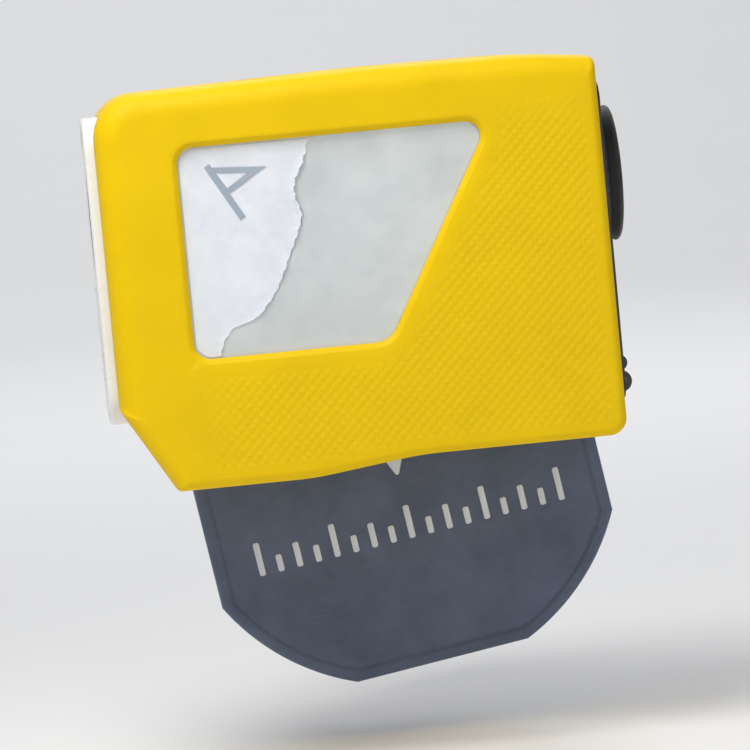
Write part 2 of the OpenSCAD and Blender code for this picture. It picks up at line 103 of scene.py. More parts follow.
def drawn_in(corners, shrink):
    """Clockwise corners (x, z, radius) after each side moves in by shrink, one value or one for each side.

    Side i runs from corner i to the next one.
    """
    n = len(corners)
    shrink = np.broadcast_to(np.asarray(shrink, float), (n,))
    moved = []
    for i, (x, z, r) in enumerate(corners):
        p = np.array([x, z])
        u = unit_vector(np.array(corners[i - 1][:2]) - p)
        v = unit_vector(np.array(corners[(i + 1) % n][:2]) - p)
        turn = u[0] * v[1] - u[1] * v[0]
        q = p + u * shrink[i] / turn + v * shrink[i - 1] / turn
        moved.append((q[0], q[1], max(r - np.sign(turn) * (shrink[i] + shrink[i - 1]) / 2, 0.25)))
    return moved


def arcs(corners):
    """One array of points for each rounded corner. Corners with the same angles get the same counts."""
    n = len(corners)
    found = []
    for i, (x, z, r) in enumerate(corners):
        p = np.array([x, z])
        u = unit_vector(np.array(corners[i - 1][:2]) - p)
        v = unit_vector(np.array(corners[(i + 1) % n][:2]) - p)
        half = math.acos(np.clip(u @ v, -1, 1)) / 2
        centre = p + unit_vector(u + v) * r / math.sin(half)
        start = p + u * r / math.tan(half) - centre
        turn = (math.pi - 2 * half) * (-1 if u[0] * v[1] - u[1] * v[0] > 0 else 1)
        steps = max(6, round(math.degrees(abs(turn)) / ARC_STEP))
        t = np.linspace(0, turn, steps + 1)
        found.append(centre + np.stack([start[0] * np.cos(t) - start[1] * np.sin(t),
                                        start[0] * np.sin(t) + start[1] * np.cos(t)], axis=1))
    return found


class Outline:
    """A rounded outline whose sides are cut into short steps, the same number however far it is drawn in."""

    def __init__(self, corners, spacing):
        self.corners = corners
        base = arcs(corners)
        self.counts = [max(1, int(np.linalg.norm(base[(i + 1) % len(base)][0] - a[-1]) / spacing))
                       for i, a in enumerate(base)]

    def points(self, shrink=0.0):
        rows = []
        parts = arcs(drawn_in(self.corners, shrink))
        for i, a in enumerate(parts):
            rows.append(a)
            t = np.linspace(0, 1, self.counts[i] + 1)[1:-1, None]
            rows.append(a[-1] * (1 - t) + parts[(i + 1) % len(parts)][0] * t)
        return np.concatenate(rows)

    def values(self, by_side):
        """One value for each point: a side's own along the side, and blended round each corner."""
        rows = []
        for i, a in enumerate(arcs(self.corners)):
            rows.append(np.linspace(by_side[i - 1], by_side[i], len(a)))
            rows.append(np.full(self.counts[i] - 1, by_side[i]))
        return np.concatenate(rows)


def rounded(corners):
    return np.concatenate(arcs(corners))


def rectangle(x0, x1, z0, z1, r):
    return [(x0, z0, r), (x1, z0, r), (x1, z1, r), (x0, z1, r)]


def circle(r, x=0.0, z=0.0, n=96):
    t = np.linspace(0, 2 * math.pi, n, endpoint=False)
    return np.stack([x + r * np.cos(t), z + r * np.sin(t)], axis=1)


def stadium(length, width):
    w = width / 2
    return rounded(rectangle(-length / 2, length / 2, -w, w, w * 0.999))


def hit(polygon, centre, toward):
    """Where rays from centre towards each of the given points cross the polygon."""
    d = toward - centre
    a = polygon - centre
    e = np.roll(a, -1, axis=0) - a
    cross_de = d[:, None, 0] * e[None, :, 1] - d[:, None, 1] * e[None, :, 0]
    cross_de = np.where(np.abs(cross_de) < 1e-12, 1e-12, cross_de)
    t = (a[None, :, 0] * e[None, :, 1] - a[None, :, 1] * e[None, :, 0]) / cross_de
    s = (a[None, :, 0] * d[:, None, 1] - a[None, :, 1] * d[:, None, 0]) / cross_de
    t = np.where((s >= -1e-9) & (s <= 1 + 1e-9) & (t > 0), t, np.inf)
    return centre + d * t.min(axis=1)[:, None]


def inside(polygon, points):
    """Which points lie in the polygon."""
    a, b = polygon, np.roll(polygon, -1, axis=0)
    crosses = (a[:, 1] > points[:, None, 1]) != (b[:, 1] > points[:, None, 1])
    with np.errstate(divide="ignore", invalid="ignore"):
        x = a[:, 0] + (points[:, None, 1] - a[:, 1]) * (b[:, 0] - a[:, 0]) / (b[:, 1] - a[:, 1])
    return (crosses & (points[:, None, 0] < x)).sum(axis=1) % 2 == 1


def smooth_curve(x, y, at):
    """A smooth curve through points with rising x, read at other places."""
    slope = np.gradient(y, x)
    i = np.clip(np.searchsorted(x, at) - 1, 0, len(x) - 2)
    h = x[i + 1] - x[i]
    t = (at - x[i]) / h
    return ((2 * t ** 3 - 3 * t ** 2 + 1) * y[i] + (t ** 3 - 2 * t ** 2 + t) * h * slope[i]
            + (3 * t ** 2 - 2 * t ** 3) * y[i + 1] + (t ** 3 - t ** 2) * h * slope[i + 1])


def clearance(points, outline):
    """How far points lie inside a closed outline. It is negative for points outside."""
    a, run = outline, np.roll(outline, -1, axis=0) - outline
    to = points[:, None] - a[None]
    t = np.clip((to * run).sum(axis=2) / (run ** 2).sum(axis=1), 0, 1)
    distance = np.linalg.norm(to - t[:, :, None] * run[None], axis=2).min(axis=1)
    return np.where(inside(outline, points), distance, -distance)


def normals_of(outline):
    """Outward unit normals at the points of a closed outline."""
    after, before = np.roll(outline, -1, axis=0), np.roll(outline, 1, axis=0)
    along = after - before
    n = np.stack([along[:, 1], -along[:, 0]], axis=1)
    n /= np.linalg.norm(n, axis=1)[:, None] + 1e-12
    area = np.sum(outline[:, 0] * after[:, 1] - after[:, 0] * outline[:, 1])
    return n if area > 0 else -n


# ---- Meshes ----

def ring_x(outline, x):
    """An outline in the Y-Z plane at x, which may be one value or one for each point."""
    return np.column_stack([np.broadcast_to(x, len(outline)), outline[:, 0], outline[:, 1]])


def ring_y(outline, y):
    return np.column_stack([outline[:, 0], np.broadcast_to(y, len(outline)), outline[:, 1]])


def ring_z(outline, z):
    return np.column_stack([outline[:, 0], outline[:, 1], np.broadcast_to(z, len(outline))])


RINGS = {"X": ring_x, "Y": ring_y, "Z": ring_z}


def skin(rings, closed=False, mesh=None):
    """A skin through rings of equal length. It closes on itself, or ends in two flat caps."""
    mesh = mesh or bmesh.new()
    rows = [[mesh.verts.new(p) for p in ring] for ring in rings]
    n = len(rows[0])
    pairs = list(zip(rows, rows[1:] + rows[:1])) if closed else list(zip(rows, rows[1:]))
    for a, b in pairs:
        for i in range(n):
            j = (i + 1) % n
            mesh.faces.new((a[i], a[j], b[j], b[i]))
    if not closed:
        mesh.faces.new(rows[0][::-1])
        mesh.faces.new(rows[-1])
    return mesh


def slab(outline, low, high, axis="Y", edge=0.3, steps=4, mesh=None, edge_high=None):
    """An outline pulled along an axis, with its two rims rounded."""
    edge_high = edge if edge_high is None else edge_high
    ring, out = RINGS[axis], normals_of(outline)
    rings = []
    for k in range(steps + 1):
        a = math.pi / 2 * k / steps
        rings.append(ring(outline - out * edge * (1 - math.sin(a)), low + edge * (1 - math.cos(a))))
    for k in range(steps, -1, -1):
        a = math.pi / 2 * k / steps
        rings.append(ring(outline - out * edge_high * (1 - math.sin(a)),
                          high - edge_high * (1 - math.cos(a))))
    return skin(rings, mesh=mesh)


def turned(profile, axis="X", centre=(0, 0, 0), n=96, mesh=None):
    """A closed profile of (along, radius) turned about an axis."""
    ring = RINGS[axis]
    rings = [ring(circle(max(r, 0.001), n=n), along) + np.array(centre) for along, r in profile]
    return skin(rings, closed=True, mesh=mesh)


def cutter(outline, low, high, axis="Y", flare=0.5):
    """A prism to cut with, which opens out by flare over the last stretch before high."""
    ring, out = RINGS[axis], normals_of(outline)
    way = 1 if high > low else -1
    steps = 5
    rings = [ring(outline, low)]
    for k in range(steps + 1):
        a = math.pi / 2 * k / steps
        rings.append(ring(outline + out * flare * (1 - math.cos(a)), high - way * flare * (1 - math.sin(a))))
    rings.append(ring(outline + out * flare, high + way * 2))
    return skin(rings)


def finished(mesh):
    """Faces point outwards and are smooth apart from sharp edges."""
    bmesh.ops.recalc_face_normals(mesh, faces=mesh.faces)
    for face in mesh.faces:
        face.smooth = True
    sharp = math.radians(35)
    for edge in mesh.edges:
        if len(edge.link_faces) == 2 and edge.calc_face_angle(0) > sharp:
            edge.smooth = False
    return mesh


def new_object(name, mesh, place):
    finished(mesh)
    data = bpy.data.meshes.new(name)
    mesh.to_mesh(data)
    mesh.free()
    data.transform(place)
    made = bpy.data.objects.new(name, data)
    bpy.context.scene.collection.objects.link(made)
    return made


def cut_away(mesh, cutters):
    """The mesh with each cutter's volume taken out."""
    body = new_object("body_to_cut", mesh, Matrix.Identity(4))
    tools = [new_object("cutting_tool", tool, Matrix.Identity(4)) for tool in cutters]
    for tool in tools:
        modifier = body.modifiers.new("cut", "BOOLEAN")
        modifier.operation = "DIFFERENCE"
        modifier.solver = "EXACT"
        modifier.object = tool
    bpy.context.view_layer.update()
    result = bmesh.new()
    result.from_object(body, bpy.context.evaluated_depsgraph_get())
    for made in [body, *tools]:
        data = made.data
        bpy.data.objects.remove(made)
        bpy.data.meshes.remove(data)
    return result


def piece(name, mesh, place, body, material, replaces=()):
    """A finished piece that rides on a CAD body and stands for CAD nodes."""
    made = new_object(name, mesh, place)
    made.data.materials.append(MATERIALS[material])
    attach(made, body)
    if replaces:
        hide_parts(*replaces)
    return made


# ---- Materials ----

def linear(rgb):
    """sRGB values from 0 to 255 as linear colour."""
    def one(v):
        v /= 255
        return v / 12.92 if v <= 0.04045 else ((v + 0.055) / 1.055) ** 2.4
    return tuple(one(v) for v in rgb) + (1.0,)


class Nodes:
    """Short calls to build a material's node tree."""

    def __init__(self, name):
        self.material = bpy.data.materials.new(name)
        self.material.use_nodes = True
        self.tree = self.material.node_tree
        self.shader = self.tree.nodes["Principled BSDF"]
        self.position = self.tree.nodes.new("ShaderNodeTexCoord").outputs["Object"]

    def link(self, a, b):
        self.tree.links.new(a, b)

    def add(self, kind, **settings):
        node = self.tree.nodes.new(kind)
        for key, value in settings.items():
            if key.startswith("in_"):
                node.inputs[key[3:].replace("_", " ").title()].default_value = value
            else:
                setattr(node, key, value)
        return node

    def noise(self, size_mm, detail=3.0, stretch=(1, 1, 1)):
        """Noise with grains about size_mm across, drawn out along the axes with a small stretch value."""
        mapping = self.add("ShaderNodeMapping")
        mapping.inputs["Scale"].default_value = [s / (size_mm * MM) for s in stretch]
        self.link(self.position, mapping.inputs["Vector"])
        node = self.add("ShaderNodeTexNoise", in_scale=1.0, in_detail=detail, in_roughness=0.55)
        self.link(mapping.outputs["Vector"], node.inputs["Vector"])
        return node.outputs["Fac"]

    def cells(self, size_mm, feature="F1"):
        mapping = self.add("ShaderNodeMapping")
        mapping.inputs["Scale"].default_value = [1 / (size_mm * MM)] * 3
        self.link(self.position, mapping.inputs["Vector"])
        node = self.add("ShaderNodeTexVoronoi", feature=feature)
        node.inputs["Scale"].default_value = 1.0
        self.link(mapping.outputs["Vector"], node.inputs["Vector"])
        return node.outputs["Distance"]

    def spread(self, value, low, high, start=0.3, stop=0.7):
        """The value's middle stretch, from start to stop, spread from low to high."""
        node = self.add("ShaderNodeMapRange", clamp=True)
        for socket, number in zip(("From Min", "From Max", "To Min", "To Max"), (start, stop, low, high)):
            node.inputs[socket].default_value = number
        self.link(value, node.inputs["Value"])
        return node.outputs["Result"]

    def blend(self, factor, a, b):
        """Colour a where factor is 0 and b where it is 1."""
        node = self.add("ShaderNodeMix", data_type="RGBA")
        self.link(factor, node.inputs["Factor"])
        for socket, value in (("A", a), ("B", b)):
            target = [s for s in node.inputs if s.name == socket and s.type == "RGBA"][0]
            if isinstance(value, tuple):
                target.default_value = value
            else:
                self.link(value, target)
        return [s for s in node.outputs if s.type == "RGBA"][0]

    def bump(self, height, depth_mm):
        node = self.add("ShaderNodeBump")
        node.inputs["Strength"].default_value = 1.0
        node.inputs["Distance"].default_value = depth_mm * MM
        self.link(height, node.inputs["Height"])
        return node.outputs["Normal"]

    def edges(self):
        """1 on convex edges and 0 elsewhere."""
        geometry = self.add("ShaderNodeNewGeometry")
        return self.spread(geometry.outputs["Pointiness"], 0, 1, 0.52, 0.6)

    def set(self, **sockets):
        """Links or sets the shader's own sockets."""
        for key, value in sockets.items():
            socket = self.shader.inputs[key.replace("_", " ")]
            if isinstance(value, bpy.types.NodeSocket):
                self.link(value, socket)
            else:
                socket.default_value = value


MATERIALS = {}


def moulded(name, colour, rough, grain_mm=0.25, depth_mm=0.012, mottle=0.12, edge_wear_and_highlight=None, coat=0.0,
            metallic=0.0, stretch=(1, 1, 1), subsurface=0.0, sheen=0.0, shine=0.5):
    """A cast, moulded or painted surface: fine grain, uneven gloss, slow change of tone and paler edges, partly
    wear and partly a painted highlight.
    """
    n = Nodes(name)
    base = linear(colour)
    dark = tuple(c * (1 - mottle) for c in base[:3]) + (1.0,)
    light = tuple(min(1.0, c * (1 + mottle * 0.6)) for c in base[:3]) + (1.0,)
    tone = n.blend(n.spread(n.noise(14, detail=4), 0, 1), dark, light)
    # Convex edges blend towards the paler edge colour: partly wear, partly a painted highlight.
    if edge_wear_and_highlight is not None:
        tone = n.blend(n.spread(n.edges(), 0, 0.6, 0, 1), tone, linear(edge_wear_and_highlight))
    grain = n.noise(grain_mm, detail=2, stretch=stretch)
    gloss = n.spread(n.noise(3.5, detail=5), max(0.02, rough - 0.07), min(1.0, rough + 0.08))
    n.set(Base_Color=tone, Roughness=gloss, Metallic=metallic, Normal=n.bump(grain, depth_mm),
          Coat_Weight=coat, Subsurface_Weight=subsurface, Sheen_Weight=sheen, Specular_IOR_Level=shine)
    if subsurface:
        n.set(Subsurface_Scale=1.2 * MM, Subsurface_Radius=(1.0, 0.7, 0.2))
    MATERIALS[name] = n.material
    return n


def make_materials():
    moulded("sleeve", (234, 195, 0), 0.5, grain_mm=0.12, depth_mm=0.010, mottle=0.045, edge_wear_and_highlight=(244, 206, 20),
            subsurface=0.06, shine=0.16)
    moulded("white_plastic", (238, 238, 234), 0.28, grain_mm=0.3, depth_mm=0.004, mottle=0.03)
    moulded("rubber_black", (30, 30, 32), 0.62, grain_mm=0.18, depth_mm=0.02, edge_wear_and_highlight=(64, 64, 66), sheen=0.1)
    moulded("plastic_black", (32, 32, 35), 0.42, grain_mm=0.22, depth_mm=0.016, edge_wear_and_highlight=(70, 70, 74))
    moulded("gloss_black", (8, 8, 9), 0.09, grain_mm=0.6, depth_mm=0.001, mottle=0.2, coat=0.6)
    moulded("barrel_black", (18, 18, 20), 0.7, grain_mm=0.1, depth_mm=0.01)
    moulded("clip_coat", (34, 34, 37), 0.38, grain_mm=0.35, depth_mm=0.02, edge_wear_and_highlight=(96, 96, 100))
    moulded("steel", (176, 177, 180), 0.3, grain_mm=0.2, depth_mm=0.003, metallic=1.0, stretch=(0.05, 1, 1))
    moulded("nickel", (198, 196, 190), 0.18, grain_mm=0.4, depth_mm=0.002, metallic=1.0)
    moulded("gold_can", (212, 172, 92), 0.25, grain_mm=0.3, depth_mm=0.002, metallic=1.0)
    moulded("key_grey", (214, 214, 211), 0.4, grain_mm=0.15, depth_mm=0.006, mottle=0.03,
            edge_wear_and_highlight=(235, 235, 233))
    moulded("emblem", (158, 170, 184), 0.4, grain_mm=0.2, depth_mm=0.004, mottle=0.08)
    moulded("print_silver", (206, 210, 216), 0.34, grain_mm=0.25, depth_mm=0.008, mottle=0.06, metallic=0.2)
    moulded("ceramic", (196, 174, 138), 0.6, grain_mm=0.2, depth_mm=0.012)
    moulded("foil", (150, 160, 176), 0.35, grain_mm=1.5, depth_mm=0.08, metallic=0.6)
    plate_material()
    film_material()
    pad_material()
    board_material()
    glass_material("coated_glass", (196, 214, 224), (0.55, 0.75, 0.7, 1))
    glass_material("prism_glass", (226, 238, 240), (0.9, 0.95, 1, 1))


def plate_material():
    """Satin silver plate with fine lengthwise brushing."""
    n = Nodes("plate_silver")
    brushed = n.noise(0.25, detail=3, stretch=(0.02, 1, 1))
    tone = n.blend(n.spread(n.noise(9, detail=4), 0, 1), linear((202, 208, 208)), linear((217, 222, 222)))
    n.set(Base_Color=tone, Metallic=0.4, Roughness=n.spread(brushed, 0.34, 0.5),
          Normal=n.bump(brushed, 0.004), Anisotropic=0.3)
    MATERIALS["plate_silver"] = n.material


def film_material():
    """Clear protective film: cool and milky, glossy, with a darker grey strip along its free edge as painted
    shade.
    """
    n = Nodes("film")
    haze = n.spread(n.noise(6, detail=5), 0.72, 0.86)
    n.set(Base_Color=n.blend(n.noise(7), linear((236, 243, 252)), linear((249, 251, 255))),
          Roughness=n.spread(n.noise(1.5, detail=4), 0.12, 0.28), Alpha=haze,
          Normal=n.bump(n.noise(2.2, detail=2, stretch=(0.35, 1, 1)), 0.05))
    MATERIALS["film"] = n.material
    # The darker grey strip along the free edge is painted shade, patchy in tone.
    n = Nodes("film_edge")
    edge_shade_patches = n.spread(n.noise(2.5, detail=4), 0, 1, 0.35, 0.6)
    n.set(Base_Color=n.blend(edge_shade_patches, linear((104, 110, 128)), linear((176, 184, 198))), Roughness=0.4,
          Alpha=n.spread(n.noise(1.2, detail=3), 0.6, 0.95), Normal=n.bump(n.noise(0.8), 0.05))
    MATERIALS["film_edge"] = n.material


def pad_material():
    """Soft-touch slate rubber: fine pebble, faint scuffs, and paler edges that are partly wear and partly a
    painted highlight.
    """
    n = Nodes("pad_slate")
    pebble = n.cells(0.55, feature="SMOOTH_F1")
    tone = n.blend(n.spread(n.noise(11, detail=5), 0, 1), linear((71, 82, 105)), linear((85, 96, 121)))
    scuffs = n.spread(n.noise(1.6, detail=5, stretch=(0.3, 1, 1)), 0, 0.35, 0.62, 0.72)
    tone = n.blend(scuffs, tone, linear((104, 110, 124)))
    # Convex edges are paler: partly wear, partly a painted highlight.
    n.set(Base_Color=n.blend(n.spread(n.edges(), 0, 0.5, 0, 1), tone, linear((112, 118, 132))),
          Roughness=n.spread(n.noise(2.5, detail=4), 0.5, 0.68), Normal=n.bump(pebble, 0.05),
          Sheen_Weight=0.08)
    MATERIALS["pad_slate"] = n.material


def board_material():
    """Solder mask with faint traces."""
    n = Nodes("board_green")
    traces = n.spread(n.cells(1.6, feature="DISTANCE_TO_EDGE"), 1, 0, 0.04, 0.1)
    n.set(Base_Color=n.blend(traces, linear((18, 84, 44)), linear((44, 124, 70))), Roughness=0.35,
          Normal=n.bump(traces, 0.03))
    MATERIALS["board_green"] = n.material


def glass_material(name, colour, coating):
    """Lens or prism glass with a thin coating and a few specks of dust."""
    n = Nodes(name)
    dust = n.spread(n.noise(0.5, detail=4), 0.01, 0.12, 0.6, 0.75)
    n.set(Base_Color=n.blend(n.noise(6), linear(colour), coating), Roughness=dust, IOR=1.52,
          Transmission_Weight=0.92, Coat_Weight=0.4)
    MATERIALS[name] = n.material


# ---- Hand unit ----

EDGE_BACK = 4.0
WALL = 1.8
BODY_CORNERS = [
    (-HALF_L, HALF_H - 1.1, 9), (4, HALF_H, 300), (HALF_L - 14, HALF_H - 0.3, 100), (HALF_L, HALF_H - 1.9, 2),
    (HALF_L, 2.6 - HALF_H, 3.5), (9, 2.6 - HALF_H, 60), (-13, -HALF_H, 60), (10 - HALF_L, -HALF_H, 1.5),
    (-HALF_L, 17 - HALF_H, 3)]
# How softly the front edge is rounded along each side: top three times, right, bottom three times, cut, left.
FRONT_EDGES = np.array([4.6, 4.4, 4.0, 1.9, 1.8, 2.0, 2.2, 3.0, 4.8])
WINDOW = [(-34.2, 27.5, 3.4), (28.2, 27.5, 3.0), (4.6, -14.4, 5), (-34.2, -14.4, 3.2)]
WINDOW_MIDDLE = np.array([-10.0, 8.0])
FRONT_HOLE = (14.5, -26.5, 35.0, 7.0)
REAR_HOLE = (17.4, -31.4, 33.4, 4.0)


def window_outline(grow):
    return rounded(drawn_in(WINDOW, -grow))


def hole_outline(hole, shrink=0.0):
    half, low, high, r = hole
    return rounded(rectangle(shrink - half, half - shrink, low + shrink, high - shrink, max(r - shrink, 0.5)))


def sleeve_rings(body):
    """Rings from the window's inner edge, round the outside and back along the inside."""
    outer = body.points()
    front = body.values(FRONT_EDGES)
    rings = []
    window_steps = [(0, WALL), (0, 1.05), (0.08, 0.92), (0.95, 0.06), (1.1, 0)]
    face_edge = body.points(FRONT_EDGES)
    for grow, depth in window_steps:
        rings.append(ring_y(hit(window_outline(grow), WINDOW_MIDDLE, face_edge), depth - HALF_T))
    window = rings[-1]
    for t in np.linspace(0, 1, 12)[1:]:
        rings.append(window * (1 - t) + ring_y(face_edge, -HALF_T) * t)
    for a in np.radians(np.arange(80, -1, -10)):
        ring = body.points(FRONT_EDGES * (1 - math.cos(a)))
        rings.append(ring_y(ring, -HALF_T + front * (1 - math.sin(a))))
    for t in np.linspace(0, 1, 26)[1:]:
        rings.append(ring_y(outer, (front - HALF_T) * (1 - t) + (HALF_T - EDGE_BACK) * t))
    for a in np.radians(np.arange(10, 91, 10)):
        ring = body.points(EDGE_BACK * (1 - math.cos(a)))
        rings.append(ring_y(ring, HALF_T - EDGE_BACK * (1 - math.sin(a))))
    back = rings[-1]
    middle = np.array([PUCK_X, PUCK_H])
    way = back[:, [0, 2]] - middle
    way /= np.linalg.norm(way, axis=1)[:, None]
    hole_r = PUCK_R + 0.6
    for t in np.linspace(0, 1, 12)[1:]:
        rings.append(back * (1 - t) + ring_y(middle + way * (hole_r + 0.9), HALF_T) * t)
    for grow, depth in [(0.4, 0.1), (0.1, 0.35), (0, 0.8), (0, WALL)]:
        rings.append(ring_y(middle + way * (hole_r + grow), HALF_T - depth))
    inner_back, inner = rings[-1], body.points(WALL)
    inner_y = HALF_T - WALL
    for t in (0.35, 0.7, 1):
        rings.append(inner_back * (1 - t) + ring_y(body.points(EDGE_BACK), inner_y) * t)
    bevel = body.points(WALL + 0.7)
    rings.append(ring_y(bevel, inner_y - 0.7))
    for y in (inner_y - 2.2, 0, 2.2 - inner_y):
        rings.append(ring_y(inner, y))
    rings.append(ring_y(bevel, 0.7 - inner_y))
    inner_front = ring_y(body.points(5.0), -inner_y)
    for t in (0, 0.4, 0.75):
        rings.append(inner_front * (1 - t) + rings[0] * t)
    return rings


GRIP_PITCH = 1.5
STUD_HEIGHT = 0.1
STUD_SINK = 0.1
DIAGONAL = math.sqrt(0.5)


def stud(mesh, at, across, along, out, rise):
    """One small pyramid with a flat top and a sunk base. Rise is its share of the full height."""
    rows = []
    for half, height in ((0.64, -STUD_SINK), (0.6, 0.0), (0.36, STUD_HEIGHT * rise)):
        rows.append([mesh.verts.new(at + across * sx * half + along * sz * half + out * height)
                     for sx, sz in ((-1, -1), (1, -1), (1, 1), (-1, 1))])
    for a, b in zip(rows, rows[1:]):
        for i in range(4):
            mesh.faces.new((a[i], a[(i + 1) % 4], b[(i + 1) % 4], b[i]))
    mesh.faces.new(rows[0][::-1])
    mesh.faces.new(rows[-1])


def diamond_lattice(low, high):
    """Points of a square lattice turned by 45 degrees, over a box of the plane."""
    reach = int((high - low).max() / GRIP_PITCH) + 2
    i, j = np.meshgrid(np.arange(-reach, reach), np.arange(-reach, reach))
    s, t = i.ravel() * GRIP_PITCH, j.ravel() * GRIP_PITCH
    points = np.stack([(s - t) * DIAGONAL, (s + t) * DIAGONAL], axis=1) + (low + high) / 2
    return points[np.all((points > low) & (points < high), axis=1)]


def fade(value, start, stop):
    """0 before start, 1 after stop."""
    return np.clip((value - start) / (stop - start), 0, 1)


def stud_field(mesh, points, rise, place, across, along, out):
    """Studs over a flat area, lower where the grip fades out."""
    for (u, v), r in zip(points[rise > 0.12], rise[rise > 0.12]):
        stud(mesh, place(u, v), across, along, out, r)


def grip_studs(mesh, body):
    """The diamond grip on the front, the back and the two flat runs of the underside."""
    points = diamond_lattice(np.array([-HALF_L, -HALF_H]), np.array([HALF_L, HALF_H]))
    x, z = points.T
    across, along = Vector((DIAGONAL, 0, DIAGONAL)), Vector((-DIAGONAL, 0, DIAGONAL))
    rise = (fade(clearance(points, body.points(FRONT_EDGES)), 0.7, 1.7)
            * fade(-clearance(points, window_outline(0)), 3.6, 5.4)
            * fade(x, -37, -27) * fade(-z, -31.5, -25))
    stud_field(mesh, points, rise, lambda u, v: Vector((u, -HALF_T, v)), across, along, Vector((0, -1, 0)))
    rise = (fade(clearance(points, body.points(EDGE_BACK)), 0.7, 2)
            * fade(np.hypot(x - PUCK_X, z - PUCK_H), PUCK_R + 3.5, PUCK_R + 6))
    stud_field(mesh, points, rise, lambda u, v: Vector((u, HALF_T, v)), across, along, Vector((0, 1, 0)))
    across, along = Vector((DIAGONAL, DIAGONAL, 0)), Vector((-DIAGONAL, DIAGONAL, 0))
    for first, last in ((7, 6), (5, 4)):
        start, end = np.array(BODY_CORNERS[first][:2]), np.array(BODY_CORNERS[last][:2])
        length = end[0] - start[0]
        points = diamond_lattice(np.array([1.0, 3.2 - HALF_T]), np.array([length - 2, HALF_T - 5]))
        rise = fade(points[:, 0], 1, 4) * fade(length - points[:, 0], 2, 5)
        stud_field(mesh, points, rise, lambda u, v: Vector((start[0] + u, v, start[1])), across, along,
                   Vector((0, 0, -1)))


def make_sleeve():
    """The silicone sleeve, open at the window, both ends, the keys and the magnet."""
    body = Outline(BODY_CORNERS, spacing=1.0)
    mesh = skin(sleeve_rings(body), closed=True)
    buttons = stadium(46, 18) + np.array([2.0, 0])
    mesh = cut_away(mesh, [
        cutter(hole_outline(FRONT_HOLE), -30, -HALF_L, "X", flare=0.7),
        cutter(hole_outline(REAR_HOLE), 30, HALF_L, "X", flare=0.7),
        cutter(buttons, HALF_H - 8, HALF_H - 0.1, "Z", flare=1.0)])
    grip_studs(mesh, body)
    return piece("sleeve_skin", mesh, UNIT, "hand_unit", "sleeve", ["sleeve"])


# The film's free edge, from the window's top to its bottom, in the hand unit's frame.
FILM_EDGE = np.array([(-8.0, 27.1), (-9.4, 22.4), (-11.3, 18.6), (-11.4, 16.2), (-10.4, 12.6), (-11.9, 8),
                      (-14.7, 2), (-17.1, -2.6), (-19.1, -5), (-22.1, -7.5), (-25.6, -8.6), (-27.5, -10.3),
                      (-29.2, -14.0)])
FILM_THICK = 0.07
# Columns along the free edge that carry the painted shade strip.
SHADED_EDGE_COLUMNS = 4


def make_film():
    """A thin sheet on the plate, whose free edge is curled up and lies in small waves."""
    rows, columns = 170, 60
    face = float(in_unit("protective_film")[1][1])
    z = np.linspace(FILM_EDGE[0, 1], FILM_EDGE[-1, 1], rows)
    # The free edge is a little ragged, and the fixed one follows the window's round corners.
    free = smooth_curve(-FILM_EDGE[:, 1], FILM_EDGE[:, 0], -z)
    free = free + 0.12 * np.sin(z * 3.1 + 0.8) + 0.07 * np.sin(z * 7.3)
    corner_r = 2.6
    fixed = -33.8 + corner_r * np.clip((np.abs(z - 6.5) - 18) / corner_r, 0, 1) ** 2
    # The curl is strongest near the top of the free edge.
    curled = 0.35 + 0.65 * np.exp(-((z - 17) / 5) ** 2) + 0.25 * np.sin(z * 0.9 + 0.5)
    mesh = bmesh.new()
    layers = []
    for thickness in (0.0, FILM_THICK):
        grid = []
        for i in range(rows):
            t = 1 - (1 - np.linspace(0, 1, columns)) ** 1.8
            x = fixed[i] + (free[i] - fixed[i]) * t
            from_edge = free[i] - x
            lift = 0.5 * curled[i] * np.exp(-from_edge / 0.9)
            slant = x + 0.62 * z[i]
            crease = 0.07 * np.sin(slant * 0.8) * np.exp(-((slant + 12) / 9) ** 2)
            y = face - 0.08 - np.maximum(lift + crease, 0) - thickness
            grid.append([mesh.verts.new((x[k], y[k], z[i])) for k in range(columns)])
        layers.append(grid)
    for grid in layers:
        for i in range(rows - 1):
            for k in range(columns - 1):
                cell = mesh.faces.new((grid[i][k], grid[i][k + 1], grid[i + 1][k + 1], grid[i + 1][k]))
                # The outermost columns along the free edge get the second material, a painted shade strip.
                cell.material_index = int(k >= columns - 1 - SHADED_EDGE_COLUMNS and 12 < i < rows - 22)
    border = ([(i, 0) for i in range(rows)] + [(rows - 1, k) for k in range(1, columns)]
              + [(i, columns - 1) for i in range(rows - 2, -1, -1)]
              + [(0, k) for k in range(columns - 2, 0, -1)])
    for (i, k), (j, m) in zip(border, border[1:] + border[:1]):
        mesh.faces.new((layers[0][i][k], layers[0][j][m], layers[1][j][m], layers[1][i][k]))
    made = piece("film_sheet", mesh, UNIT, "hand_unit", "film", ["protective_film"])
    made.data.materials.append(MATERIALS["film_edge"])
    return made


def shell_front(outline):
    """How far left the shells reach at each height, so that the bezel sits on them."""
    body = rounded(drawn_in(BODY_CORNERS, WALL + 0.1))
    far = np.column_stack([np.full(len(outline), -HALF_L * 2), outline[:, 1]])
    start = np.column_stack([np.zeros(len(outline)), outline[:, 1]])
    return np.array([hit(body, a, b[None])[0, 0] for a, b in zip(start, far)])


def make_front_bezel():
    """White frame with a rounded lip, shaped to the shells that it sits on."""
    low = float(in_unit("front_bezel")[0][0])
    outer, inner, ledge = (hole_outline(FRONT_HOLE, shrink) for shrink in (0.12, 2.62, 1.9))
    rings = [ring_x(inner, low + 1.2), ring_x(inner, low + 0.35)]
    for shrink, x in ((2.5, 0.12), (2.2, 0.0), (1.2, 0.0), (0.62, 0.12), (0.28, 0.4), (0.12, 0.9)):
        rings.append(ring_x(hole_outline(FRONT_HOLE, shrink), low + x))
    rings.append(ring_x(outer, shell_front(outer) - 0.12))
    rings.append(ring_x(ledge, shell_front(ledge) - 0.12))
    return piece("bezel_white_frame", skin(rings, closed=True), UNIT, "hand_unit", "white_plastic",
                 ["front_bezel"])


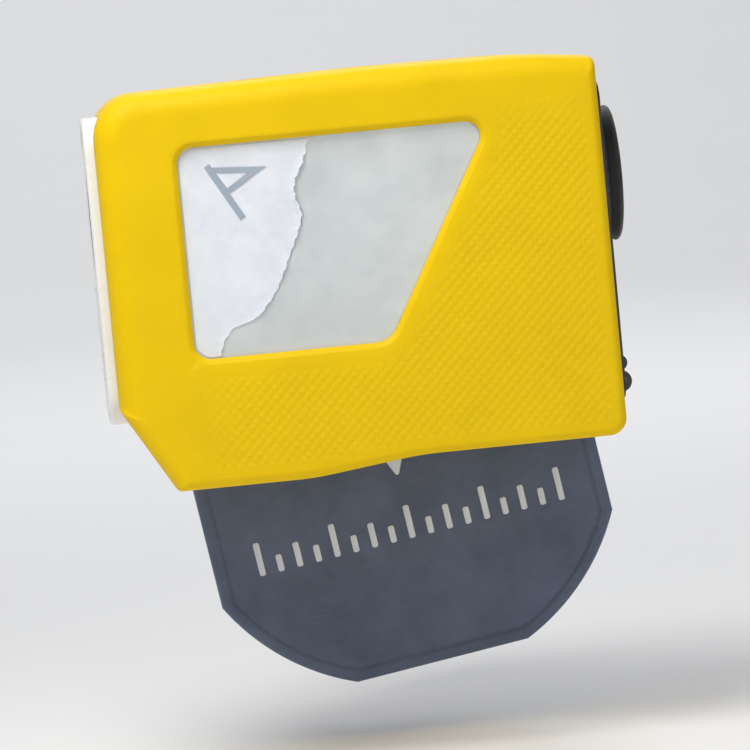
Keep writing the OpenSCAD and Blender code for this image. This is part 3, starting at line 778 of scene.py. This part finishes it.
def make_lens_panel():
    """Glossy panel with a hole for each of the two beams."""
    low, high = (float(v[0]) for v in in_unit("lens_panel"))
    mesh = slab(hole_outline(FRONT_HOLE, 2.7), low, high, "X", edge=0.12)
    mesh = cut_away(mesh, [
        cutter(circle(11.4, 0, SIGHT_Z), high + 3, low, "X", flare=0.3),
        cutter(circle(5.6, 0, LASER_Z), high + 3, low, "X", flare=0.3)])
    return piece("panel_glossy", mesh, UNIT, "hand_unit", "gloss_black", ["lens_panel"])


def threaded_tube(node, bore, ridge, axis_z):
    """A tube along X with fine ridges in its bore, to stop stray light."""
    low, high = in_unit(node)
    outer = (high[1] - low[1]) / 2
    x0, x1 = float(low[0]), float(high[0])
    shoulder = outer - 1.3
    profile = [(x0, bore + 0.2), (x0, shoulder - 0.15), (x0 + 0.15, shoulder)]
    profile += [(x1 - 0.2, shoulder), (x1, shoulder - 0.2), (x1, bore)]
    for x in np.arange(x1 - 1, x0 + 0.6, -0.7):
        profile += [(x, bore), (x - 0.35, bore - ridge)]
    return turned(profile, "X", (0, 0, axis_z))


def lens_profile(low, high, rim, edge):
    """A lens with two curved faces, from its lowest to its highest point along the axis."""
    bulge = (high - low - edge) / 2
    steps = np.linspace(0, 1, 14)
    front = [(low + bulge * s * s, rim * s) for s in steps]
    back = [(high - bulge * s * s, rim * s) for s in steps[::-1]]
    return front + back


def make_optics():
    """The two ribbed tubes, their lenses and the pair of eyepiece lenses."""
    piece("objective_ribbed", threaded_tube("objective_barrel", 11.5, 0.25, SIGHT_Z), UNIT, "hand_unit",
          "barrel_black", ["objective_barrel"])
    piece("emitter_ribbed", threaded_tube("emitter_tube", 5.5, 0.2, LASER_Z), UNIT, "hand_unit",
          "barrel_black", ["emitter_tube"])
    for name, node, z, edge in (("objective_glass", "objective_lens", SIGHT_Z, 2.0),
                                ("emitter_glass", "emitter_lens", LASER_Z, 1.4)):
        low, high = in_unit(node)
        rim = (high[1] - low[1]) / 2
        piece(name, turned(lens_profile(low[0], high[0], rim, edge), "X", (0, 0, z), n=80), UNIT, "hand_unit",
              "coated_glass", [node])
    low, high = in_unit("eyepiece_lenses")
    rim = (high[1] - low[1]) / 2
    thick = 4.9
    mesh = turned(lens_profile(low[0], low[0] + thick, rim, 2.0), "X", (0, 0, SIGHT_Z), n=80)
    turned(lens_profile(high[0] - thick, high[0], rim, 2.0), "X", (0, 0, SIGHT_Z), n=80, mesh=mesh)
    piece("eyepiece_glasses", mesh, UNIT, "hand_unit", "coated_glass", ["eyepiece_lenses"])


def make_rear_end():
    """The ribbed dioptre ring and the soft eyecup on it."""
    low, high = (float(v[0]) for v in in_unit("dioptre_ring"))
    ring_r, bore, rib_height = 14.3, 11.05, 0.19
    grooves, n = 36, 432
    turn = np.linspace(0, 2 * math.pi, n, endpoint=False)
    grip = 0.32 * np.clip(np.cos(turn * grooves), -0.2, 0.6)

    def ribbed(shrink, share):
        r = ring_r - shrink + share * (grip - rib_height)
        return np.stack([r * np.cos(turn), SIGHT_Z + r * np.sin(turn)], axis=1)

    bore_ring = circle(bore, 0, SIGHT_Z, n)
    rings = [ring_x(bore_ring, low)]
    for shrink, share, x in ((0.3, 0, low), (0, 0, low + 0.3), (0, 0, low + 1.2), (0, 1, low + 1.6),
                             (0, 1, high - 0.5), (0.15, 1, high - 0.2), (0.5, 0.5, high)):
        rings.append(ring_x(ribbed(shrink, share), x))
    rings += [ring_x(circle(bore + 0.3, 0, SIGHT_Z, n), high), ring_x(bore_ring, high - 0.3)]
    piece("dioptre_ribbed", skin(rings, closed=True), UNIT, "dioptre", "plastic_black",
          ["dioptre_ring"])

    low, high = (float(v[0]) for v in in_unit("eyecup"))
    lip = [(high - 1.1 + 1.1 * math.sin(a), 12.2 + 1.5 * math.cos(a)) for a in np.linspace(0, math.pi, 17)]
    profile = [(low, 10.4), (low, 13.2), (low + 0.5, 13.45), (low + 0.9, 13.4), *lip, (low + 0.8, 10.0)]
    piece("eyecup_soft", turned(profile, "X", (0, 0, SIGHT_Z), n=128), UNIT, "dioptre", "rubber_black",
          ["eyecup"])


def make_keys():
    """The long ribbed fire key and the round, dished mode key."""
    low, high = in_unit("fire_button")
    x, top, foot = float(low[0] + high[0]) / 2, float(high[2]), float(low[2])
    place = UNIT @ Matrix.Translation((x, 0, 0))
    mesh = slab(stadium(22.4, 14.4), foot, foot + 1.1, "Z", edge=0.15)
    slab(stadium(20, 12), foot + 0.9, top, "Z", edge=0.1, edge_high=1.1, steps=6, mesh=mesh)
    for i in range(-2, 3):
        rib = stadium(7.2 - 0.5 * abs(i), 1.1)[:, ::-1] + np.array([i * 2.6, 0])
        slab(rib, top - 0.3, top + 0.18, "Z", edge=0.05, edge_high=0.2, mesh=mesh)
    piece("fire_key_ribbed", mesh, place, "fire_key", "key_grey", ["fire_button"])

    low, high = in_unit("mode_button")
    x, top, foot = float(low[0] + high[0]) / 2, float(high[2]), float(low[2])
    dish = [(top - 0.25 * (1 - s * s), 3.6 * s) for s in np.linspace(0, 1, 8)]
    profile = dish + [(top, 4.3), (top - 0.2, 4.8), (top - 0.7, 5.0), (foot + 0.8, 5.0), (foot + 0.8, 6.0),
                      (foot + 0.6, 6.2), (foot, 6.2), (foot, 0)]
    place = UNIT @ Matrix.Translation((x, 0, 0))
    piece("mode_key_dished", turned(profile, "Z"), place, "mode_key", "plastic_black",
          ["mode_button"])


# ---- Saddle ----

# The pad's round bottom has its centre at PAD_MIDDLE and is cut flat PAD_DROP below it.
PAD_HALF, PAD_TOP, PAD_CORNER = 41.8, 14.0, 12.0
PAD_R, PAD_MIDDLE, PAD_DROP = 47.0, -31.0, 43.3
PAD_DEPTH = 4.45


def pad_outline():
    """Flat top with round corners, straight sides and a round bottom cut flat, in steps of about 1 mm."""
    a0, a1 = math.asin(PAD_DROP / PAD_R), math.acos(PAD_HALF / PAD_R)
    right = [(PAD_R * math.cos(a), PAD_MIDDLE + PAD_R * math.sin(a))
             for a in np.linspace(-a0, -a1, int(PAD_R * (a0 - a1)))]
    turn_x, turn_z = PAD_HALF - PAD_CORNER, PAD_TOP - PAD_CORNER
    corner = [(turn_x + PAD_CORNER * math.cos(a), turn_z + PAD_CORNER * math.sin(a))
              for a in np.linspace(0, math.pi / 2, 14)]
    side_foot = right[-1][1]
    side = [(PAD_HALF, z) for z in np.linspace(side_foot, turn_z, int(turn_z - side_foot))[1:-1]]
    right_half = np.array(right + side + corner)
    top_edge = np.array([(x, PAD_TOP) for x in np.linspace(turn_x, -turn_x, int(2 * turn_x))[1:-1]])
    left_half = right_half[::-1] * np.array([-1, 1])
    foot, foot_z = left_half[-1]
    under = np.array([(x, foot_z) for x in np.linspace(foot, -foot, int(-2 * foot))[1:-1]])
    return np.concatenate([right_half, top_edge, left_half, under])


def make_face_pad():
    """The soft pad: rolled edge, sunk line inside it, round opening for the puck, pocket for the base."""
    outer = pad_outline()
    out = normals_of(outer)

    def loop(shrink):
        return outer - out * shrink

    middle = np.array([0.0, PUCK_Z])
    hole_r = PUCK_R + 0.35
    way = outer - middle
    way /= np.linalg.norm(way, axis=1)[:, None]
    floor = 2.45
    rings = []
    for shrink, depth in ((3.4, 0), (3.2, 0.02), (2.9, 0.22), (2.7, 0.3), (2.5, 0.22), (2.2, 0.02), (2.0, 0),
                          (1.3, 0), (0.85, 0.08), (0.4, 0.32), (0.1, 0.75), (0, 1.3), (0, 3.6), (0.15, 4.15),
                          (0.5, PAD_DEPTH), (1.6, PAD_DEPTH), (2.0, PAD_DEPTH - 0.3), (2.0, floor)):
        rings.append(ring_y(loop(shrink), PAD_FACE + depth))
    inner = rings[-1]
    hole_back = ring_y(middle + way * hole_r, PAD_FACE + floor)
    for t in (0.4, 0.75, 1):
        rings.append(inner * (1 - t) + hole_back * t)
    for grow, depth in ((0, 1.0), (0.1, 0.45), (0.35, 0.12), (0.8, 0)):
        rings.append(ring_y(middle + way * (hole_r + grow), PAD_FACE + depth))
    start, end = rings[-1], ring_y(loop(3.4), PAD_FACE)
    for t in np.linspace(0, 1, 14)[1:-1]:
        rings.append(start * (1 - t) + end * t)
    return piece("pad_soft", skin(rings, closed=True), SADDLE, "saddle", "pad_slate",
                 ["face_pad"])


def make_scale():
    """Ruler ticks and a pointer, printed thickly on the pad."""
    middle, pitch, half_tick = PAD_MIDDLE - 13.3, 4, 0.65
    foot = middle - 3.5
    outlines = []
    for i in range(-8, 9):
        tall = 7.0 if i % 4 == 0 else 5.2 if i % 2 == 0 else 3.6
        x = i * pitch
        outlines.append(rounded(rectangle(x - half_tick, x + half_tick, foot, foot + tall, 0.45)))
    outlines.append(rounded([(0, middle + 9.3, 0.5), (3.5, middle + 17.3, 0.7), (-3.5, middle + 17.3, 0.7)]))
    mesh = bmesh.new()
    for outline in outlines:
        slab(outline, PAD_FACE - 0.14, PAD_FACE + 0.1, edge=0.1, edge_high=0.02, steps=3, mesh=mesh)
    return piece("scale_print", mesh, SADDLE, "saddle", "print_silver", ["printed_scale"])


CLIP_IN, CLIP_OUT = RIM_R + 2, RIM_R + 5
CLIP_HALF_W = 20.0
CLIP_FOOT = -41.2


def arc_points(r, start, end, y=0.0, z=0.0, step=4):
    """Points along an arc, angles in degrees from +Y towards +Z."""
    angles = np.radians(np.linspace(start, end, max(3, int(abs(end - start) / step))))
    return [(y + r * math.cos(a), z + r * math.sin(a)) for a in angles]


def line_points(a, b):
    """Points between two ends, about 2 mm apart."""
    n = max(1, int(math.dist(a, b) / 2.0))
    return [tuple(np.array(a) * (1 - t) + np.array(b) * t) for t in np.linspace(0, 1, n + 1)[1:-1]]


def make_clip():
    """Sprung steel strip: front plate, arch over the rim, tongue with a flared end."""
    tip_z, flare_y = -40.0, CLIP_OUT + 4
    outer_side = [(-CLIP_OUT, CLIP_FOOT), *line_points((-CLIP_OUT, CLIP_FOOT), (-CLIP_OUT, 0)),
                  *arc_points(CLIP_OUT, 180, 0), *line_points((CLIP_OUT, 0), (CLIP_OUT, tip_z)),
                  *arc_points(4, 180, 268, flare_y, tip_z, step=8)]
    inner_side = [*arc_points(7, 268, 180, flare_y, tip_z, step=8),
                  *line_points((CLIP_IN, tip_z), (CLIP_IN, 0)), *arc_points(CLIP_IN, 0, 180),
                  *line_points((-CLIP_IN, 0), (-CLIP_IN, CLIP_FOOT)), (-CLIP_IN, CLIP_FOOT),
                  (-CLIP_IN - 0.8, CLIP_FOOT - 0.8), (-CLIP_OUT + 0.8, CLIP_FOOT - 0.8)]
    mesh = slab(np.array(outer_side + inner_side), -CLIP_HALF_W, CLIP_HALF_W, "X", edge=0.7, steps=5)
    through, behind, sunk = -30, -10, -CLIP_IN - 1
    holes = [cutter(circle(3.05, 0, PUCK_Z, 48), through, behind, flare=0),
             cutter(circle(3.85, 0, PUCK_Z, 48), sunk, behind, flare=0)]
    for x in (-14, 14):
        for z in (-4, -34):
            holes.append(cutter(circle(2.5, x, z, 32), sunk, behind, flare=0))
            holes.append(cutter(circle(1.4, x, z, 32), through, behind, flare=0))
    return piece("clip_sprung", cut_away(mesh, holes), SADDLE, "saddle", "clip_coat",
                 ["rim_clip"])


def make_liner():
    """Ribbed rubber in the arch, and the ribbed grip on the tongue."""
    outer, end = CLIP_IN - 0.06, -12.0
    ribs = 44
    angles = np.linspace(0, math.pi, ribs * 6)
    ribbed = RIM_R + 0.14 * (1 - np.cos(angles * ribs * 2)) + 0.01
    inner = list(zip(ribbed * np.cos(angles), ribbed * np.sin(angles)))
    profile = [(-outer, end + 0.4), *line_points((-outer, end + 0.4), (-outer, 0)),
               *arc_points(outer, 180, 0), *line_points((outer, 0), (outer, end + 0.4)),
               (outer - 0.3, end), (RIM_R + 0.5, end), (RIM_R + 0.02, end + 0.5),
               *inner, (-RIM_R - 0.02, end + 0.5), (-RIM_R - 0.5, end), (-outer + 0.3, end)]
    mesh = slab(np.array(profile), 1 - CLIP_HALF_W, CLIP_HALF_W - 1, "X", edge=0.2, steps=3)
    piece("liner_ribbed", mesh, SADDLE, "saddle", "rubber_black", ["rim_liner"])

    foot, head, ridge_pitch = -39.0, -14.0, 5.0
    z = np.linspace(foot + 0.3, head - 0.3, 121)
    crest = np.clip(np.cos((z - foot - ridge_pitch / 2) / ridge_pitch * 2 * math.pi) - 0.55, 0, 1) / 0.45
    face = RIM_R + 0.9 - 0.68 * crest
    profile = [(outer, foot + 0.2), (outer, head - 0.2), (CLIP_IN - 0.3, head), (RIM_R + 1.1, head),
               *zip(face[::-1], z[::-1]), (RIM_R + 1.1, foot), (CLIP_IN - 0.3, foot)]
    mesh = slab(np.array(profile), -14, 14, "X", edge=0.15, steps=3)
    piece("grip_ridged", mesh, SADDLE, "saddle", "rubber_black", ["tongue_grip"])


def make_puck_face():
    """Rubber disc with three round grooves."""
    front = float(box_mm("puck_face")[0][1])
    r, thick, groove_depth = PUCK_R, 0.55, 0.15
    profile = [(front + thick, 0), (front + thick, r - 0.05), (front + 0.4, r), (front + 0.2, r - 0.05),
               (front, r - 0.3)]
    for groove in (12, 9, 6):
        profile += [(front, groove + 0.5), (front + groove_depth, groove + 0.3),
                    (front + groove_depth, groove - 0.3), (front, groove - 0.5)]
    profile += [(front, 0)]
    place = SADDLE @ Matrix.Translation((0, 0, PUCK_Z))
    piece("puck_disc", turned(profile, "Y"), place, "puck", "rubber_black", ["puck_face"])


# ---- CAD nodes that are shown as they are ----

CAD_LOOKS = {
    "left_shell": "white_plastic", "right_shell": "white_plastic", "shell_gasket": "rubber_black",
    "shell_screws": "steel", "side_plate": "plate_silver", "flag_emblem": "emblem", "keeper_plate": "nickel",
    "laser_diode": "gold_can", "prism_block": "prism_glass", "light_receiver": "nickel",
    "display_module": "gloss_black", "eyepiece_tube": "barrel_black", "rear_bezel": "plastic_black",
    "main_board": "board_green", "board_chips": "plastic_black", "key_board": "board_green",
    "tact_switches": "steel", "gps_antenna": "ceramic", "battery_pack": "foil", "beeper": "plastic_black",
    "usb_socket": "steel", "port_board": "board_green", "port_pin": "steel", "port_cover": "plastic_black",
    "port_seal": "rubber_black", "pad_base": "plastic_black", "clip_screws": "steel", "puck_pivot": "steel",
    "puck_cup": "clip_coat", "puck_magnet": "nickel"}

# Bevel widths in millimetres.
SOFTENED = {"rear_bezel": 0.3, "port_cover": 0.2, "pad_base": 0.4, "battery_pack": 0.6, "gps_antenna": 0.3,
            "board_chips": 0.15, "keeper_plate": 0.2}


def dress_cad():
    """Materials for the CAD nodes, and softer edges for those that have large plain faces."""
    for node, look in CAD_LOOKS.items():
        data = frame["nodes"][node].data
        data.materials.clear()
        data.materials.append(MATERIALS[look])
    for node, width in SOFTENED.items():
        bevel = frame["nodes"][node].modifiers.new("soft_edges", "BEVEL")
        bevel.width, bevel.segments = width * MM, 2
        bevel.limit_method, bevel.angle_limit = "ANGLE", math.radians(50)
        bevel.harden_normals = True


# ---- Stage ----

def area_light(name, place, aim, size, power, colour=(1, 1, 1)):
    """A round soft lamp, places and size in metres, power in watts."""
    light = bpy.data.lights.new(name, "AREA")
    light.shape = "DISK"
    light.size = size
    light.energy = power
    light.color = colour
    lamp = bpy.data.objects.new(name, light)
    lamp.location = place
    lamp.rotation_euler = (Vector(aim) - Vector(place)).to_track_quat("-Z", "Y").to_euler()
    bpy.context.scene.collection.objects.link(lamp)


def make_stage():
    """Pale floor that curves up into a backdrop, soft lights and an even sky, in metres."""
    floor_z, front, back, curve, top, side = -0.088, -2.4, 1.5, 0.6, 3.0, 4
    profile = [(front, floor_z)] + [(back + curve * math.sin(a), floor_z + curve * (1 - math.cos(a)))
                                    for a in np.linspace(0, math.pi / 2, 24)] + [(back + curve, top)]
    mesh = bmesh.new()
    rows = [[mesh.verts.new((x, y, z)) for y, z in profile] for x in (-side, side)]
    for i in range(len(profile) - 1):
        mesh.faces.new((rows[0][i], rows[1][i], rows[1][i + 1], rows[0][i + 1]))
    floor = new_object("floor_sweep", mesh, Matrix.Identity(4))
    n = Nodes("floor_paint")
    n.set(Base_Color=n.blend(n.noise(120, detail=3), linear((241, 242, 243)), linear((246, 246, 247))),
          Roughness=0.85)
    floor.data.materials.append(n.material)

    world = bpy.data.worlds.new("studio")
    world.use_nodes = True
    background = world.node_tree.nodes["Background"]
    background.inputs["Color"].default_value = (0.97, 0.98, 1.0, 1)
    background.inputs["Strength"].default_value = 0.4
    bpy.context.scene.world = world
    aim = (0, -0.04, 0)
    area_light("key", (-0.12, -0.24, 0.32), aim, 0.22, 1.2, (1, 0.98, 0.95))
    area_light("fill", (0.3, -1.1, 0.1), aim, 0.45, 0.9, (0.95, 0.97, 1))
    area_light("rim", (0.2, 0.75, 0.8), aim, 0.6, 3)
    area_light("backdrop", (0, 1.1, 1.1), (0, back + curve, 0.1), 0.8, 6)


VIEW_AIM = Vector((0.001, -0.045, -0.0115))
VIEW_YAW, VIEW_PITCH, VIEW_ROLL = math.radians(4.0), math.radians(4.0), math.radians(5.4)
VIEW_DISTANCE = 1.0
VIEW_WIDTH = 0.152
SENSOR = 36


def make_camera():
    """A long lens in front of the hand unit, a little to its left and above it, rolled so that it leans."""
    back = Vector((-math.sin(VIEW_YAW) * math.cos(VIEW_PITCH), -math.cos(VIEW_YAW) * math.cos(VIEW_PITCH),
                   math.sin(VIEW_PITCH)))
    camera = bpy.data.cameras.new("camera")
    camera.sensor_width = SENSOR
    camera.lens = SENSOR * VIEW_DISTANCE / VIEW_WIDTH
    camera.clip_start, camera.clip_end = 0.05, 20
    seen_from = bpy.data.objects.new("camera", camera)
    turn = (-back).to_track_quat("-Z", "Y").to_matrix() @ Matrix.Rotation(-VIEW_ROLL, 3, "Z")
    seen_from.matrix_world = Matrix.Translation(VIEW_AIM + back * VIEW_DISTANCE) @ turn.to_4x4()
    bpy.context.scene.collection.objects.link(seen_from)
    bpy.context.scene.camera = seen_from
    bpy.context.scene.view_settings.view_transform = "Standard"


make_materials()
make_sleeve()
make_film()
make_front_bezel()
make_lens_panel()
make_optics()
make_rear_end()
make_keys()
make_face_pad()
make_scale()
make_clip()
make_liner()
make_puck_face()
dress_cad()
make_stage()
make_camera()

bpy.context.view_layer.update()
